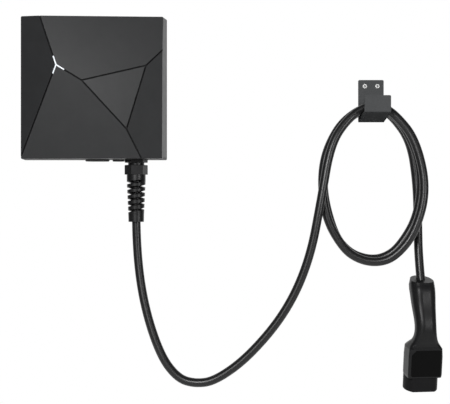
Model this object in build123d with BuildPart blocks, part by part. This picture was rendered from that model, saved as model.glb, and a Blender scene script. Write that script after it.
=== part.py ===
from build123d import *
import os
from math import atan, atan2, cos, degrees, pi, radians, sin, tan

# Frame: origin at the centre of the box's four wall screws, on the wall face.
# +X to the right as the box is looked at, +Z up. The wall is the plane Y = 0 and
# everything stands out of it towards -Y, so "depth" below is distance from the wall.

# Box outline
BODY_W = 242.6
BODY_TOP = 119.5
BODY_BOTTOM = -120.0
SIDE_DRAFT = 0.088
TOP_DRAFT = 0.080
CORNER_R = 2.2
INNER_CORNER_R = 1.2

# Cover: the points where its ridges meet, as (X, Z, depth)
RIDGE_J = (-55.4, 32.9, 71.2)
RIDGE_K = (-13.7, 7.6, 71.0)
RIDGE_L = (90.2, 33.4, 57.0)
RIDGE_M = (59.2, -71.6, 66.7)
LEFT_EDGE_DEPTH = 48.8
RIGHT_EDGE_DEPTH = 51.1
COVER_WALL = 2.6
COVER_FRONT_WALL = 4.2
GROOVE_W = 2.5
GROOVE_DEPTH = 2.6
LIGHT_ARM = 15.2
LIGHT_ARM_W = 2.0
LIGHT_HUB = 0.6
LIGHT_RECESS = 0.35
LIGHT_FLANGE_R = 17.5
LIGHT_FLANGE_T = 1.6
LIGHT_BOSS_BACK = 57.0
LED_BOARD = (56.0, 30.0, 1.6)
LED_BOARD_R = 2.0
LED_POST_X = 24.0
LED_LAMPS = (16.0, 6.0, 2.5)
LED_LAMP_DROP = 8.0
LED_SCREW_L = 5.0
RUN_GAP = 0.3
FIT_GAP = 0.05
HOLE_GAP = 0.1
PAST_FRONT = 90.0
PAST_EDGE = 260.0

# Housing tray
FLANGE_T = 6.0
TRAY_WALL = 3.0
TRAY_SET_BACK = 4.9
TRAY_GAP = 0.8
TRAY_CORNER_R = 5.0
BOTTOM_DEPTH = 40.0
FLOOR_BACK = 2.0
FLOOR_T = 3.0
SEAL_T = 2.0
SEAL_W = 2.8
RIB_NARROWER = 0.6
BACK_RIM = 15.0
BACK_RIM_R = 6.0

# Screw holes to the wall
WALL_HOLE_INSET = 21.3
WALL_HOLE_X = BODY_W - 2 * WALL_HOLE_INSET
WALL_HOLE_Z = 140.0
WALL_HOLE_R = 2.75
WALL_BOSS_R = 7.0
WALL_BOSS_H = 3.0

# Cover pegs and their sockets
PEG_INSET = 21.3
PEG_DROP = 22.5
PEG_RISE = 19.0
PEG_X = BODY_W / 2 - PEG_INSET
PEG_TOP = BODY_TOP - PEG_DROP
PEG_BOTTOM = BODY_BOTTOM + PEG_RISE
PEG_R = 2.5
PEG_ROOT_W = 2.0
PEG_ROOT_GAP = 2.0
PEG_TIP = 22.0
PEG_GAP = 0.1
SOCKET_R = 4.5
SOCKET_L = 12.0
SOCKET_LIP_W = 1.5
SOCKET_LIP_T = 1.0
SOCKET_BOSS_R = 7.0
SOCKET_BOSS_TOP = 32.0

# Main board and what stands on it
BOARD_W = 150.0
BOARD_H = 90.0
BOARD_T = 1.6
BOARD_R = 3.0
BOARD_CLEAR = 3.0
BOARD_DROP = 75.5
BOARD_X = PEG_X - SOCKET_BOSS_R - BOARD_CLEAR - BOARD_W / 2
BOARD_Z = BODY_TOP - BOARD_DROP
BOARD_LEFT = BOARD_X - BOARD_W / 2
BOARD_RIGHT = BOARD_X + BOARD_W / 2
BOARD_BOTTOM = BOARD_Z - BOARD_H / 2
BOARD_BACK = 13.0
BOARD_INSET = 5.0
SCREW_R = 1.5
SCREW_HEAD_R = 2.9
SCREW_HEAD_T = 2.0
HEAD_ROUND = 0.45
SLOT_W = 0.22
SLOT_DEPTH = 0.6
BOARD_SCREW_L = 8.0
BOARD_HOLE_L = 7.0
STANDOFF_R = 4.0
LED_POST_R = 3.0
BLOCK_R = 1.0
BLOCK_CHAMFER = 0.6
RELAY = (30.0, 24.0, 20.0)
RELAY_X = BOARD_RIGHT - 30.0
RELAY_Z = (BOARD_Z + 22.0, BOARD_Z - 12.0)
POWER = (46.0, 30.0, 22.0)
POWER_AT = (BOARD_LEFT + 40.0, BOARD_Z + 24.0)
RADIO = (34.0, 24.0, 3.2)
RADIO_R = 0.8
RADIO_AT = (BOARD_LEFT + 34.0, BOARD_Z - 26.0)
CAPACITOR_R = 5.0
CAPACITOR_H = 16.0
CAPACITOR_GAP = 6.0
CAPACITOR_ROUND = 1.0
CAPACITOR_X = POWER_AT[0] + POWER[0] / 2 + CAPACITOR_GAP + CAPACITOR_R
CAPACITORS = [(CAPACITOR_X, BOARD_Z + rise) for rise in (34.0, 20.0, 6.0)]

# Terminal blocks
POLE_PITCH = 12.0
POLES = 5
TERMINAL_H = 24.0
TERMINAL_T = 25.0
TERMINAL_END_W = 2.0
TERMINAL_R = 1.5
TERMINAL_CHAMFER = 1.0
WIRE_ENTRY_L = 9.0
ENTRY_RISE = 9.0
WELL_L = 7.0
TERMINAL_SCREW_R = 2.6
TERMINAL_SCREW_L = 3.0
TERMINAL_SLOT_W = 0.8
TERMINAL_SLOT_L = 1.0
INPUT_INSET = 63.3
INPUT_RISE = 50.0
INPUT_AT = (INPUT_INSET - BODY_W / 2, BODY_BOTTOM + INPUT_RISE)
OUTPUT_DROP = 7.0
OUTPUT_Z = BOARD_BOTTOM - OUTPUT_DROP - TERMINAL_H / 2

# Gland and cable
GLAND_INSET = 50.4
GLAND_X = BODY_W / 2 - GLAND_INSET
GLAND_DEPTH = 21.0
CABLE_R = 7.25
CABLE_ROUNDING = 0.45
THREAD_R = 12.5
HEX_AF = 33.6
HEX_TURN = 10.0
HEX_CHAMFER = 0.8
HEX_INSET = 1.0
GLAND_HEX_T = 5.1
NECK_R = 13.6
NECK_L = 3.9
CAP_HEX_L = 16.0
CAP_CONE_L = 3.0
COLLAR_R = 15.8
COLLAR_L = 7.5
SPIRAL_CORE_R = 8.7
SPIRAL_PITCH = 9.5
SPIRAL_TURNS = 6
SPIRAL_TIP_R = 15.85
SPIRAL_END_R = 13.2
GROOVE_MOUTH_W = 6.2
GROOVE_ROOT_W = 0.8
GROOVE_END_GAP = 0.5
GROOVE_PATH = 3.0
GROOVE_PAST = 2.0
RELIEF_END_R = 12.9
RELIEF_END_L = 12.0
RELIEF_L = 104.2
RELIEF_BOTTOM = BODY_BOTTOM - RELIEF_L
SLEEVE_L = 11.0
STEM_L = 9.0
INSERT_R = 10.0
INSERT_L = 22.0
LOCKNUT_T = 6.0
LOCKNUT_AF = 30.0
SHEATH_MEETS = 19.2
CABLE_START = RELIEF_BOTTOM + SHEATH_MEETS
SHEATH_RISE = 36.0
SHEATH_TOP = BODY_BOTTOM + SHEATH_RISE
CLAMP_RISE = 23.0
CLAMP_Z = BODY_BOTTOM + CLAMP_RISE
CLAMP_H = 10.0
CLAMP_W = 42.0
CLAMP_WALL = 4.0
CLAMP_EAR_T = 8.0
CLAMP_SCREW_X = 18.0
CLAMP_SCREW_BITE = 2.0
CLAMP_HOLE_L = 2.4
CORE_R = 1.9
CORE_RING = 4.3
CORE_BEND_R = 5.0
CORE_LEAD = 8.0
CORE_END_GAP = 1.0
SENSOR_R = 15.0
SENSOR_BORE = 8.5
SENSOR_H = 12.0
SENSOR_ROUND = 1.5
SENSOR_RISE = 48.0
SENSOR_Z = BODY_BOTTOM + SENSOR_RISE
SADDLE_GAP = 0.2
SADDLE_INSET = 1.0
SENSOR_TO_BEND = 2.0

# Plugs in the bottom wall, as X, depth and head size, and the rear supply entry
OVAL_TO_GLAND = 65.0
ROUND_TO_GLAND = 30.1
PLUG_OVAL = (GLAND_X - OVAL_TO_GLAND, 21.0, 40.3, 28.0)
PLUG_ROUND = (GLAND_X - ROUND_TO_GLAND, 17.0, 10.0)
PLUG_HEAD_T = 3.0
PLUG_HEAD_ROUND = 1.4
PLUG_LEDGE = 3.0
PLUG_WALL = 2.5
PLUG_STEM_PAST = 2.0
SUPPLY_INSET = 61.3
SUPPLY_X = SUPPLY_INSET - BODY_W / 2
SUPPLY_R = 14.0
GROMMET_FLANGE = 3.0
GROMMET_FLANGE_T = 2.5
GROMMET_WALL = 4.0
SUPPLY_CLEAR = 2.0
SUPPLY_Z = BOARD_BOTTOM - SUPPLY_R - GROMMET_FLANGE - SUPPLY_CLEAR

# Cable hook
HOOK_X = 467.8
HOOK_W = 43.0
HOOK_T = 3.0
HOOK_TOP = 16.0
HOOK_BOTTOM = -56.5
HOOK_REACH = 79.0
LIP_BOTTOM = -45.0
LIP_TOP = -17.7
HOOK_CORNER_R = 2.2
HOOK_BEND_R = 1.0
HOOK_SCREW_Z = 5.3
HOOK_SCREW_SPACING = 21.3
HOOK_SCREW_R = 2.2
HOOK_HOLE_R = 2.4
HOOK_HEAD_R = 3.85
HOOK_HEAD_T = 2.2
HOOK_SCREW_L = 32.0

# Connector, in an upright frame of its own that is turned about the vertical
CON_X = 544.4
CON_Z = -501.5
CON_DEPTH = 34.0
CON_TURN = 8.0
NOSE_LEAN = 8.0
GRIP_LEAN = 18.0
GRIP_FORWARD = 15.0
BEND_START = 82.0
BEND_END = 124.0
NOSE_R = 28.2
NOSE_FLAT = 21.0
NOSE_CORNER = 4.0
NOSE_ROUND = 2.5
NOSE_STEP = 2.2
NOSE_L = 25.0
NOSE_ROOT = 22.0
HEAD_FRONT = 25.0
CONTACT_R = 4.6
SIGNAL_R = 3.6
CONTACT_SET_BACK = 7.0
CONTACT_L = 30.0
CONTACT_ROOT_L = 6.0
POWER_BORE_R = 3.05
SIGNAL_BORE_R = 1.55
PANEL_W = 49.5
PANEL_H = 44.0
PANEL_MID = 49.5
PANEL_T = 1.6
PANEL_PROUD = 0.8
PANEL_R = 3.0
PANEL_CUT_SIDE = 11.28
TAIL_JOINT = 163.0
TAIL_CUT = 32.0
TAIL_L = 16.4
CABLE_LEAD_L = 48.0
CABLE_SOCKET_L = 16.0

# Connector sections: height, half width, front, corner radius and shift forward
HEAD_SECTIONS = [
    (NOSE_L, NOSE_R, HEAD_FRONT - 1, 4.0),
    (NOSE_L + 4, 28.9, HEAD_FRONT, 4.5),
    (60.0, 28.9, HEAD_FRONT, 4.5),
    (73.0, 28.0, HEAD_FRONT, 5.0),
    (76.5, 26.2, 20.0, 7.0, 3.0),
    (81.0, 23.4, 17.4, 10.0, 7.0),
]
GRIP_SECTIONS = [
    (81.0, 23.4, 17.4, 10.0, 7.0),
    (89.0, 19.3, 16.2, 12.0, 12.5),
    (98.0, 17.5, 16.0, 12.5, GRIP_FORWARD),
    (116.0, 17.5, 16.2, 12.5, GRIP_FORWARD),
    (142.0, 19.5, 18.2, 14.0, GRIP_FORWARD),
    (TAIL_JOINT, 20.5, 19.4, 15.0, GRIP_FORWARD),
]
TAIL_SECTIONS = [
    (TAIL_JOINT, 20.5, 19.4, 15.0, GRIP_FORWARD),
    (TAIL_JOINT + 8, 20.2, 19.0, 15.0, GRIP_FORWARD),
    (TAIL_JOINT + 28, 13.9, 13.9, 12.0, GRIP_FORWARD),
]
# Contacts, as X and Y on the connector's face
POWER_CONTACTS = [(-17.0, -0.5), (0.0, -0.5), (17.0, -0.5), (-8.5, 12.5), (8.5, 12.5)]
SIGNAL_CONTACTS = [(-8.5, -12.5), (8.5, -12.5)]

os.makedirs("parts", exist_ok=True)


def at(x, z, depth):
    """A point given by its place on the wall and its depth from it."""
    return Vector(x, -depth, z)


def wall(depth):
    """The plane parallel to the wall at a depth, drawn on in X and Z."""
    return Plane.XZ.offset(depth)


def level(z):
    """The horizontal plane at a height, with its own Y towards the wall."""
    return Plane.XY.offset(z)


def finish(part, name):
    part.label = name
    export_step(part, f"parts/{name}.step")


def body_outline(depth, inset=0.0):
    """The box's outline at a depth, drawn in all round by inset."""
    width = BODY_W - 2 * (SIDE_DRAFT * depth + inset)
    top = BODY_TOP - TOP_DRAFT * depth - inset
    bottom = BODY_BOTTOM + inset
    with BuildSketch(wall(depth)) as outline:
        with Locations((0, (top + bottom) / 2)):
            RectangleRounded(width, top - bottom, max(CORNER_R - inset, INNER_CORNER_R))
    return outline.sketch


def facet(p, q, r, lowered=0.0):
    """The plane of a facet through three points, facing out, moved in by lowered."""
    normal = (q - p).cross(r - p).normalized()
    if normal.Y > 0:
        normal = normal * -1
    return Plane(origin=p - normal * lowered, z_dir=normal)


def facets(lowered=0.0):
    """The cover's five front facets: left, top, triangle, bottom and right."""
    j, k, l, m = (at(*p) for p in (RIDGE_J, RIDGE_K, RIDGE_L, RIDGE_M))
    half = BODY_W / 2
    left_top = at(-half, BODY_TOP, LEFT_EDGE_DEPTH)
    left_bottom = at(-half, BODY_BOTTOM, LEFT_EDGE_DEPTH)
    right_middle = at(half, 0, RIGHT_EDGE_DEPTH)
    corners = [(j, left_top, left_bottom), (j, k, l), (k, l, m), (j, k, m), (l, m, right_middle)]
    return [facet(*three, lowered) for three in corners]


def body_solid(back, inset, lowered):
    """The box as a solid from a back depth out to its facets."""
    with BuildPart() as solid:
        add(body_outline(back, inset))
        add(body_outline(PAST_FRONT, inset))
        loft()
        for plane in facets(lowered):
            split(bisect_by=plane, keep=Keep.BOTTOM)
    return solid.part


def ridge(a, b, towards):
    """The direction of the ridge where two facets meet, pointing one way along it."""
    line = a.z_dir.cross(b.z_dir).normalized()
    return line if line.dot(towards) > 0 else line * -1


LEFT, TOP, TRIANGLE, BOTTOM, RIGHT = facets()
UP = Vector(0, 0, 1)
DOWN = Vector(0, 0, -1)
J, K, L, M = (at(*p) for p in (RIDGE_J, RIDGE_K, RIDGE_L, RIDGE_M))

# Each ridge: where it starts, which way it runs, how far, and its two facets
RIDGES = [
    (J, ridge(LEFT, TOP, UP), PAST_EDGE, LEFT, TOP),
    (J, ridge(LEFT, BOTTOM, DOWN), PAST_EDGE, LEFT, BOTTOM),
    (J, (K - J).normalized(), (K - J).length, TOP, BOTTOM),
    (K, (L - K).normalized(), (L - K).length, TOP, TRIANGLE),
    (K, (M - K).normalized(), (M - K).length, TRIANGLE, BOTTOM),
    (L, (M - L).normalized(), (M - L).length, TRIANGLE, RIGHT),
    (L, ridge(TOP, RIGHT, UP), PAST_EDGE, TOP, RIGHT),
    (M, ridge(BOTTOM, RIGHT, DOWN), PAST_EDGE, BOTTOM, RIGHT),
]


def light_plan(width, length):
    """The light's three arms in plan, each along one of the ridges that meet at J."""
    with BuildSketch(Plane.XZ) as plan:
        for start, line, _, _, _ in RIDGES[:3]:
            angle = degrees(atan2(line.Z, line.X))
            middle = (start.X + line.X * length / 2, start.Z + line.Z * length / 2)
            with Locations(Location(middle, angle)):
                Rectangle(length, width)
        with Locations((J.X, J.Z)):
            Circle(width * LIGHT_HUB)
    return plan.sketch


def depth_on(plane, x, z):
    """How far from the wall a facet's plane lies at a place."""
    return (at(x, z, 0) - plane.origin).dot(plane.z_dir) / plane.z_dir.Y


# Front cover: one moulded shell that slides off forwards on four pegs
TRAY_DEPTH = depth_on(TOP, BODY_W / 2, BODY_TOP) - TRAY_SET_BACK
SEAL_OUT_X = BODY_W / 2 - SIDE_DRAFT * TRAY_DEPTH - COVER_WALL - TRAY_GAP
SEAL_TOP = BODY_TOP - TOP_DRAFT * TRAY_DEPTH - COVER_WALL - TRAY_GAP
SEAL_BOTTOM = BODY_BOTTOM + TRAY_WALL
SEAL_FRONT = TRAY_DEPTH + SEAL_T
FLOOR = FLOOR_BACK + FLOOR_T
PEGS = [(x, z) for x in (-PEG_X, PEG_X) for z in (PEG_TOP, PEG_BOTTOM)]
LED_POSTS = [(J.X - LED_POST_X, J.Z), (J.X + LED_POST_X, J.Z)]
LED_FRONT = LIGHT_BOSS_BACK - LIGHT_FLANGE_T


def ring(depth, amount, width):
    """The closed band that follows the tray's rim, used by the seal and its rib."""
    with BuildPart() as band:
        with BuildSketch(wall(depth)):
            with Locations((0, (SEAL_TOP + SEAL_BOTTOM) / 2)):
                RectangleRounded(2 * SEAL_OUT_X, SEAL_TOP - SEAL_BOTTOM, TRAY_CORNER_R)
                RectangleRounded(
                    2 * (SEAL_OUT_X - width),
                    SEAL_TOP - SEAL_BOTTOM - 2 * width,
                    TRAY_CORNER_R - width,
                    mode=Mode.SUBTRACT,
                )
        extrude(amount=amount)
    return band.part


COVER_INSIDE = body_solid(0, COVER_WALL, COVER_FRONT_WALL)

with BuildPart() as cover_inner_parts:
    add(ring(SEAL_FRONT + RUN_GAP, PAST_FRONT - SEAL_FRONT, SEAL_W - RIB_NARROWER))
    with BuildSketch(wall(PEG_TIP)):
        with Locations(*PEGS):
            Circle(PEG_R)
    extrude(amount=PAST_FRONT - PEG_TIP)
    with BuildSketch(wall(SOCKET_BOSS_TOP + PEG_ROOT_GAP)):
        with Locations(*PEGS):
            Circle(PEG_R + PEG_ROOT_W)
    extrude(amount=PAST_FRONT - SOCKET_BOSS_TOP)
    with BuildSketch(wall(LIGHT_BOSS_BACK)):
        with Locations((J.X, J.Z)):
            Circle(LIGHT_FLANGE_R)
    extrude(amount=PAST_FRONT - LIGHT_BOSS_BACK)
    with BuildSketch(wall(LED_FRONT)):
        with Locations(*LED_POSTS):
            Circle(LED_POST_R)
    extrude(amount=PAST_FRONT - LED_FRONT)
    add(COVER_INSIDE, mode=Mode.INTERSECT)

with BuildPart() as front_cover:
    add(body_solid(FLANGE_T + RUN_GAP, 0, 0))
    add(COVER_INSIDE, mode=Mode.SUBTRACT)
    with BuildSketch(wall(0)):
        with Locations((0, BODY_BOTTOM)):
            Rectangle(2 * BODY_W, 2 * (TRAY_WALL + RUN_GAP))
    extrude(amount=BOTTOM_DEPTH + RUN_GAP, mode=Mode.SUBTRACT)
    with BuildSketch(wall(0)):
        with Locations((0, BODY_BOTTOM)):
            Rectangle(2 * BODY_W, 2 * RUN_GAP)
    extrude(amount=PAST_FRONT, mode=Mode.SUBTRACT)
    add(cover_inner_parts)
    for start, line, run, one, other in RIDGES:
        between = (one.z_dir + other.z_dir).normalized()
        with BuildSketch(Plane(origin=start, x_dir=line.cross(between), z_dir=line)):
            Rectangle(GROOVE_W, 2 * GROOVE_DEPTH)
        extrude(amount=run, mode=Mode.SUBTRACT)
    for point in (J, K, L, M):
        with BuildSketch(wall(-point.Y - GROOVE_DEPTH)):
            with Locations((point.X, point.Z)):
                Circle(GROOVE_W / 2)
        extrude(amount=PAST_FRONT, mode=Mode.SUBTRACT)
    extrude(light_plan(LIGHT_ARM_W + 2 * FIT_GAP, LIGHT_ARM + FIT_GAP), PAST_FRONT, mode=Mode.SUBTRACT)
    with BuildSketch(wall(LED_FRONT)):
        with Locations(*LED_POSTS):
            Circle(SCREW_R)
    extrude(amount=LED_SCREW_L + 1, mode=Mode.SUBTRACT)

finish(front_cover.part, "front_cover")

# Light guide: three clear arms on a round flange behind the cover's boss
with BuildPart() as light_guide:
    extrude(light_plan(LIGHT_ARM_W, LIGHT_ARM), PAST_FRONT)
    add(body_solid(LIGHT_BOSS_BACK, 0, LIGHT_RECESS), mode=Mode.INTERSECT)
    with BuildSketch(wall(LED_FRONT)):
        with Locations((J.X, J.Z)):
            Circle(LIGHT_FLANGE_R)
    extrude(amount=LIGHT_FLANGE_T)

finish(light_guide.part, "light_guide")

# Light board: a small board with three lamps, screwed to two posts of the cover
with BuildPart() as led_board:
    with BuildSketch(wall(LED_FRONT - LED_BOARD[2])):
        with Locations((J.X, J.Z)):
            RectangleRounded(LED_BOARD[0], LED_BOARD[1], LED_BOARD_R)
        with Locations(*LED_POSTS):
            Circle(SCREW_R + HOLE_GAP, mode=Mode.SUBTRACT)
    extrude(amount=LED_BOARD[2])
    with BuildSketch(wall(LED_FRONT - LED_BOARD[2] - LED_LAMPS[2])):
        with Locations((J.X, J.Z - LED_LAMP_DROP)):
            Rectangle(LED_LAMPS[0], LED_LAMPS[1])
    extrude(amount=LED_LAMPS[2])

finish(led_board.part, "led_board")


def pan_screw(plane, length, head_r=SCREW_HEAD_R, head_t=SCREW_HEAD_T, shank_r=SCREW_R - FIT_GAP):
    """A pan-head screw with its head standing on a plane and its shank behind it."""
    with BuildPart() as screw:
        with BuildSketch(plane):
            Circle(head_r)
        extrude(amount=head_t)
        fillet(screw.faces().sort_by(Axis(plane.origin, plane.z_dir))[-1].edges(), head_t * HEAD_ROUND)
        with BuildSketch(plane.offset(head_t)):
            Rectangle(head_r, head_r * SLOT_W)
            Rectangle(head_r * SLOT_W, head_r)
        extrude(amount=-head_t * SLOT_DEPTH, mode=Mode.SUBTRACT)
        with BuildSketch(plane):
            Circle(shank_r)
        extrude(amount=-length)
    return screw.part


def facing(x, z, depth, outward=True):
    """The wall-parallel plane centred on a point, facing out or towards the wall."""
    return Plane(origin=at(x, z, depth), x_dir=(1, 0, 0), z_dir=(0, -1 if outward else 1, 0))


# Two screws hold the light board to the cover from behind
with BuildPart() as led_board_screws:
    for x, z in LED_POSTS:
        add(pan_screw(facing(x, z, LED_FRONT - LED_BOARD[2], False), LED_SCREW_L))

finish(led_board_screws.part, "led_board_screws")

# Rear housing: tray with a rim flange, a thick bottom wall and its bosses
WALL_HOLES = [(x * WALL_HOLE_X / 2, z * WALL_HOLE_Z / 2) for x in (-1, 1) for z in (-1, 1)]
BOARD_HOLES = [
    (BOARD_X + x * (BOARD_W / 2 - BOARD_INSET), BOARD_Z + z * (BOARD_H / 2 - BOARD_INSET))
    for x in (-1, 1)
    for z in (-1, 1)
]
CLAMP_SCREWS = [(GLAND_X - CLAMP_SCREW_X, CLAMP_Z), (GLAND_X + CLAMP_SCREW_X, CLAMP_Z)]
INNER_BOTTOM = SEAL_BOTTOM + TRAY_WALL

with BuildPart() as housing_bottom:
    add(body_solid(0, 0, 0))
    split(bisect_by=level(SEAL_BOTTOM), keep=Keep.BOTTOM)
    split(bisect_by=wall(BOTTOM_DEPTH), keep=Keep.BOTTOM)

with BuildPart() as rear_housing:
    add(body_outline(0))
    add(body_outline(FLANGE_T))
    loft()
    with BuildSketch(wall(0)):
        with Locations((0, (SEAL_TOP + SEAL_BOTTOM) / 2)):
            RectangleRounded(2 * SEAL_OUT_X, SEAL_TOP - SEAL_BOTTOM, TRAY_CORNER_R)
    extrude(amount=TRAY_DEPTH)
    add(housing_bottom)
    with BuildSketch(wall(FLOOR)):
        with Locations((0, (SEAL_TOP + SEAL_BOTTOM) / 2)):
            RectangleRounded(
                2 * (SEAL_OUT_X - TRAY_WALL),
                SEAL_TOP - SEAL_BOTTOM - 2 * TRAY_WALL,
                TRAY_CORNER_R - TRAY_WALL,
            )
    extrude(amount=PAST_FRONT, mode=Mode.SUBTRACT)
    with BuildSketch(wall(0)):
        RectangleRounded(BODY_W - 2 * BACK_RIM, BODY_TOP - BODY_BOTTOM - 2 * BACK_RIM, BACK_RIM_R)
        with Locations(*WALL_HOLES):
            Circle(WALL_BOSS_R, mode=Mode.SUBTRACT)
    extrude(amount=FLOOR_BACK, mode=Mode.SUBTRACT)
    with BuildSketch(wall(FLOOR)):
        with Locations(*WALL_HOLES):
            Circle(WALL_BOSS_R)
    extrude(amount=WALL_BOSS_H)
    with BuildSketch(wall(FLOOR)):
        with Locations(*BOARD_HOLES):
            Circle(STANDOFF_R)
    extrude(amount=BOARD_BACK - FLOOR)
    with BuildSketch(wall(FLOOR)):
        with Locations(*PEGS):
            Circle(SOCKET_BOSS_R)
    extrude(amount=SOCKET_BOSS_TOP - FLOOR)
    with BuildSketch(wall(FLOOR)):
        with Locations((GLAND_X, SENSOR_Z)):
            Rectangle(SENSOR_R, SENSOR_H - 2 * SADDLE_INSET)
    extrude(amount=GLAND_DEPTH - SENSOR_R - SADDLE_GAP - FLOOR)
    with BuildSketch(wall(0)):
        with Locations(*WALL_HOLES):
            Circle(WALL_HOLE_R)
    extrude(amount=PAST_FRONT, mode=Mode.SUBTRACT)
    with BuildSketch(wall(BOARD_BACK)):
        with Locations(*BOARD_HOLES):
            Circle(SCREW_R)
    extrude(amount=-BOARD_HOLE_L, mode=Mode.SUBTRACT)
    with BuildSketch(wall(SOCKET_BOSS_TOP)):
        with Locations(*PEGS):
            Circle(SOCKET_R + FIT_GAP)
    extrude(amount=-SOCKET_L, mode=Mode.SUBTRACT)
    with BuildSketch(wall(FLOOR)):
        with Locations(*CLAMP_SCREWS):
            Circle(SCREW_R)
    extrude(amount=-CLAMP_HOLE_L, mode=Mode.SUBTRACT)
    with BuildSketch(wall(0)):
        with Locations((SUPPLY_X, SUPPLY_Z)):
            Circle(SUPPLY_R)
    extrude(amount=FLOOR, mode=Mode.SUBTRACT)
    with BuildSketch(level(BODY_BOTTOM)):
        with Locations((GLAND_X, -GLAND_DEPTH)):
            Circle(THREAD_R + FIT_GAP)
        with Locations((PLUG_OVAL[0], -PLUG_OVAL[1])):
            SlotOverall(PLUG_OVAL[2] - 2 * PLUG_LEDGE, PLUG_OVAL[3] - 2 * PLUG_LEDGE)
        with Locations((PLUG_ROUND[0], -PLUG_ROUND[1])):
            Circle(PLUG_ROUND[2] - PLUG_LEDGE)
    extrude(amount=2 * TRAY_WALL, mode=Mode.SUBTRACT)

finish(rear_housing.part, "rear_housing")

# Seal: a flat cord on the tray's rim that the cover's rib presses on
with BuildPart() as housing_seal:
    add(ring(TRAY_DEPTH, SEAL_T, SEAL_W))

finish(housing_seal.part, "housing_seal")

# Peg sockets: four flanged rubber bushes in the housing's corner bosses
with BuildPart() as cover_sockets:
    with BuildSketch(wall(SOCKET_BOSS_TOP - SOCKET_L)):
        with Locations(*PEGS):
            Circle(SOCKET_R)
            Circle(PEG_R + PEG_GAP, mode=Mode.SUBTRACT)
    extrude(amount=SOCKET_L + SOCKET_LIP_T)
    with BuildSketch(wall(SOCKET_BOSS_TOP)):
        with Locations(*PEGS):
            Circle(SOCKET_R + SOCKET_LIP_W)
            Circle(PEG_R + PEG_GAP, mode=Mode.SUBTRACT)
    extrude(amount=SOCKET_LIP_T)

finish(cover_sockets.part, "cover_sockets")

# Main board on its four standoffs, and its screws
with BuildPart() as main_board:
    with BuildSketch(wall(BOARD_BACK)):
        with Locations((BOARD_X, BOARD_Z)):
            RectangleRounded(BOARD_W, BOARD_H, BOARD_R)
        with Locations(*BOARD_HOLES):
            Circle(SCREW_R + HOLE_GAP, mode=Mode.SUBTRACT)
    extrude(amount=BOARD_T)

finish(main_board.part, "main_board")

BOARD_FRONT = BOARD_BACK + BOARD_T

with BuildPart() as board_screws:
    for x, z in BOARD_HOLES:
        add(pan_screw(facing(x, z, BOARD_FRONT), BOARD_SCREW_L))

finish(board_screws.part, "board_screws")


def moulded_block(x, z, size, round_r=BLOCK_R):
    """A moulded component body standing on the main board."""
    with BuildPart() as block:
        with BuildSketch(wall(BOARD_FRONT)):
            with Locations((x, z)):
                RectangleRounded(size[0], size[1], round_r)
        extrude(amount=size[2])
        chamfer(block.faces().sort_by(Axis.Y)[0].edges(), round_r * BLOCK_CHAMFER)
    return block.part


# Two relays that switch the charging current
with BuildPart() as relays:
    for z in RELAY_Z:
        add(moulded_block(RELAY_X, z, RELAY))

finish(relays.part, "relays")

# Power module that feeds the electronics
with BuildPart() as power_module:
    add(moulded_block(*POWER_AT, POWER))

finish(power_module.part, "power_module")

# Radio module under its can
with BuildPart() as radio_module:
    add(moulded_block(*RADIO_AT, RADIO, RADIO_R))

finish(radio_module.part, "radio_module")

# Capacitors, standing in a row
with BuildPart() as capacitors:
    with BuildSketch(wall(BOARD_FRONT)):
        with Locations(*CAPACITORS):
            Circle(CAPACITOR_R)
    extrude(amount=CAPACITOR_H)
    fillet(capacitors.faces().group_by(Axis.Y)[0].edges(), CAPACITOR_ROUND)

finish(capacitors.part, "capacitors")

# Terminal blocks: wires go in from below, each under its own screw
TERMINAL_W = POLES * POLE_PITCH + 2 * TERMINAL_END_W
ENTRY_DEPTH = FLOOR + ENTRY_RISE


def poles(x):
    return [x + (n - (POLES - 1) / 2) * POLE_PITCH for n in range(POLES)]


def terminal_block(x, z):
    with BuildPart() as block:
        with BuildSketch(wall(FLOOR)):
            with Locations((x, z)):
                RectangleRounded(TERMINAL_W, TERMINAL_H, TERMINAL_R)
        extrude(amount=TERMINAL_T)
        chamfer(block.faces().sort_by(Axis.Y)[0].edges(), TERMINAL_CHAMFER)
        with BuildSketch(level(z - TERMINAL_H / 2)):
            with Locations(*[(pole, -ENTRY_DEPTH) for pole in poles(x)]):
                Circle(CORE_R + FIT_GAP)
        extrude(amount=WIRE_ENTRY_L, mode=Mode.SUBTRACT)
        with BuildSketch(wall(FLOOR + TERMINAL_T)):
            with Locations(*[(pole, z) for pole in poles(x)]):
                Circle(TERMINAL_SCREW_R + FIT_GAP)
        extrude(amount=-WELL_L, mode=Mode.SUBTRACT)
    return block.part


with BuildPart() as input_terminals:
    add(terminal_block(*INPUT_AT))

finish(input_terminals.part, "input_terminals")

with BuildPart() as output_terminals:
    add(terminal_block(GLAND_X, OUTPUT_Z))

finish(output_terminals.part, "output_terminals")

with BuildPart() as terminal_screws:
    with BuildSketch(wall(FLOOR + TERMINAL_T - WELL_L)):
        with Locations(*[(x, INPUT_AT[1]) for x in poles(INPUT_AT[0])]):
            Circle(TERMINAL_SCREW_R)
            Rectangle(2 * TERMINAL_SCREW_R, TERMINAL_SLOT_W, mode=Mode.SUBTRACT)
        with Locations(*[(x, OUTPUT_Z) for x in poles(GLAND_X)]):
            Circle(TERMINAL_SCREW_R)
            Rectangle(2 * TERMINAL_SCREW_R, TERMINAL_SLOT_W, mode=Mode.SUBTRACT)
    extrude(amount=TERMINAL_SCREW_L)
    with BuildSketch(wall(FLOOR + TERMINAL_T - WELL_L)):
        with Locations(*[(x, INPUT_AT[1]) for x in poles(INPUT_AT[0])]):
            Circle(TERMINAL_SCREW_R)
        with Locations(*[(x, OUTPUT_Z) for x in poles(GLAND_X)]):
            Circle(TERMINAL_SCREW_R)
    extrude(amount=TERMINAL_SCREW_L - TERMINAL_SLOT_L)

finish(terminal_screws.part, "terminal_screws")

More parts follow.
